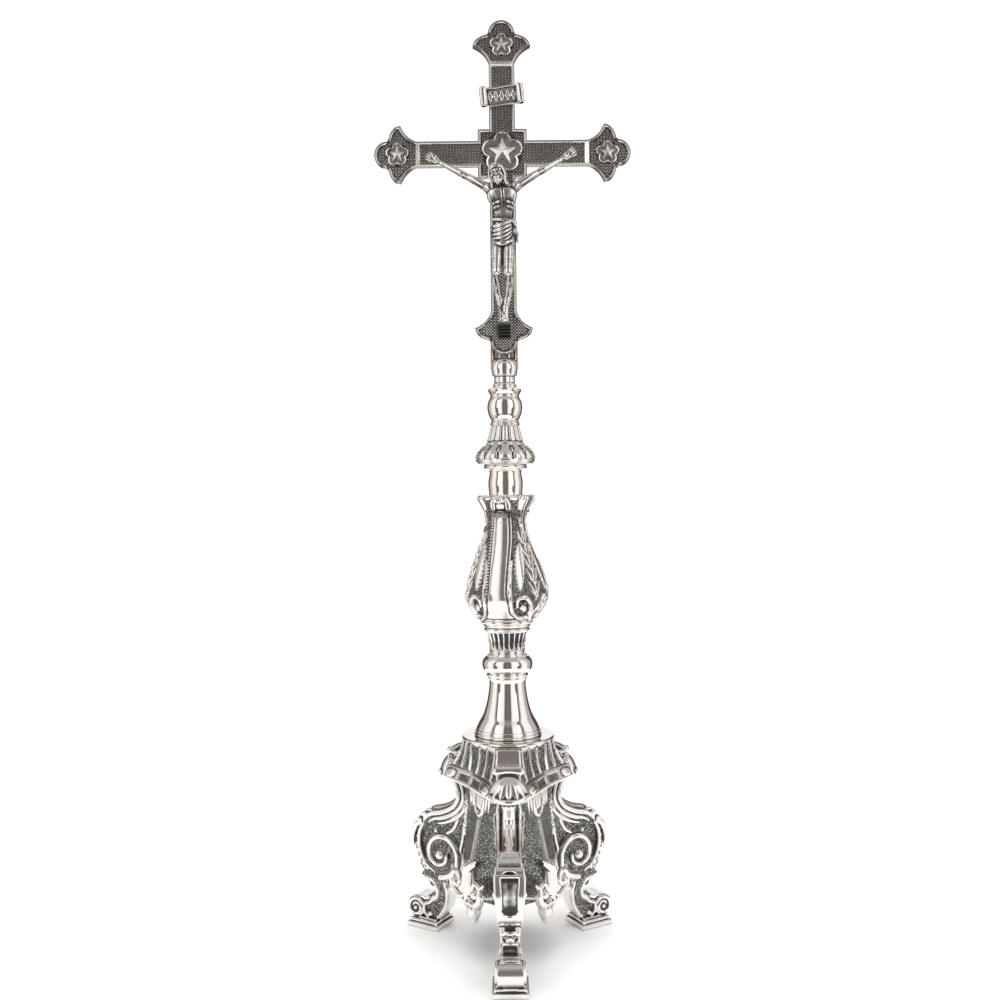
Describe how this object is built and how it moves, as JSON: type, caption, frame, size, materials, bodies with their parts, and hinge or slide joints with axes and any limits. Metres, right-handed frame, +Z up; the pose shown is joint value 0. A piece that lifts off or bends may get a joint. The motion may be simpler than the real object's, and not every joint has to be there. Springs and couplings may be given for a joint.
{
  "type": "altar cross",
  "caption": "Free-standing altar cross: a trefoil-ended crucifix with a cast figure on a baluster stem and a scroll-footed tripod base; the cross lifts out of its socket.",
  "frame": {"origin": "on the stem's axis, at the surface that the feet stand on", "axes": "+Z up along the stem, the figure faces -Y, +X to the right of someone facing the front"},
  "size_m": [0.1664, 0.1228, 0.6],
  "materials": {
    "polished_silver_plate": "polished silver plate over turned brass",
    "oxidised_silver_plate": "silver plate over cast brass, dark in the recesses and polished on the high parts",
    "bare_steel": "plain rolled thread steel"
  },
  "bodies": {
    "stand": {"base_body": "oxidised_silver_plate", "base_cornice": "oxidised_silver_plate", "base_disc": "polished_silver_plate", "apron_pendants": "oxidised_silver_plate", "leg_front": "oxidised_silver_plate", "leg_right": "oxidised_silver_plate", "leg_left": "oxidised_silver_plate", "leg_screws": "bare_steel", "bridge_plate": "bare_steel", "tie_rod": "bare_steel", "tie_rod_washer": "bare_steel", "tie_rod_nut": "bare_steel", "trumpet_stem": "polished_silver_plate", "lower_knop": "polished_silver_plate", "fluted_cup": "oxidised_silver_plate", "vase": "oxidised_silver_plate", "spool_neck": "polished_silver_plate", "petal_skirt": "oxidised_silver_plate", "fluted_bell": "oxidised_silver_plate", "globe": "polished_silver_plate", "collar_ring": "polished_silver_plate", "cross_ferrule": "polished_silver_plate"},
    "cross": {"cross_plate": "oxidised_silver_plate", "tang_bar": "oxidised_silver_plate", "tang_screws": "bare_steel", "title_scroll": "oxidised_silver_plate", "title_rivets": "polished_silver_plate", "corpus": "oxidised_silver_plate", "foot_block": "oxidised_silver_plate", "corpus_nails": "polished_silver_plate", "corpus_nuts": "polished_silver_plate"}
  },
  "joints": [
    {"name": "cross_lift", "type": "slide", "parent": "stand", "child": "cross", "axis": [0, 0, 1], "range_m": [0, 0.03]}
  ]
}
